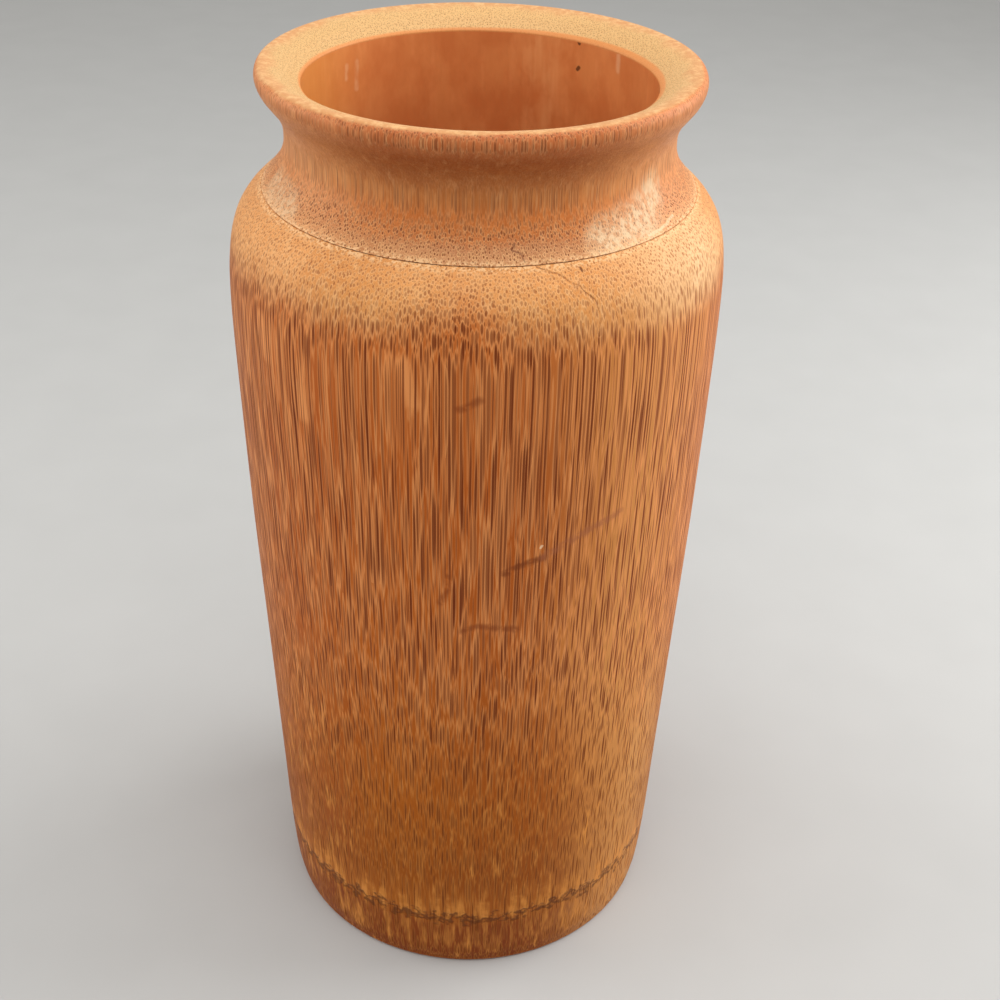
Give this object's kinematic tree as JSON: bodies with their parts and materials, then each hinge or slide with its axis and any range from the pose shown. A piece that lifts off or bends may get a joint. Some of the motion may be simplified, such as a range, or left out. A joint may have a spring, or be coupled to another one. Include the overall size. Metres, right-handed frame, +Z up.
{
  "type": "bamboo vase",
  "caption": "Turned bamboo vase with a straight tapering body, rounded shoulder, glued neck collar with a flared rolled rim, and a lacquered inside.",
  "frame": {"origin": "centre of the foot ring's resting plane, on the vase's axis", "axes": "+Z up along the turning axis, towards the mouth"},
  "size_m": [0.1496, 0.1496, 0.3],
  "materials": {
    "bamboo_body": "satin oiled end grain and long fibres",
    "bamboo_collar": "satin oiled end grain and long fibres",
    "dark_glue": "dark brown glue film",
    "inner_lacquer": "glossy orange-brown lacquer"
  },
  "bodies": {
    "root": {"culm_body": "bamboo_body", "neck_collar": "bamboo_collar", "glue_line": "dark_glue", "lacquer_lining": "inner_lacquer"}
  },
  "joints": []
}
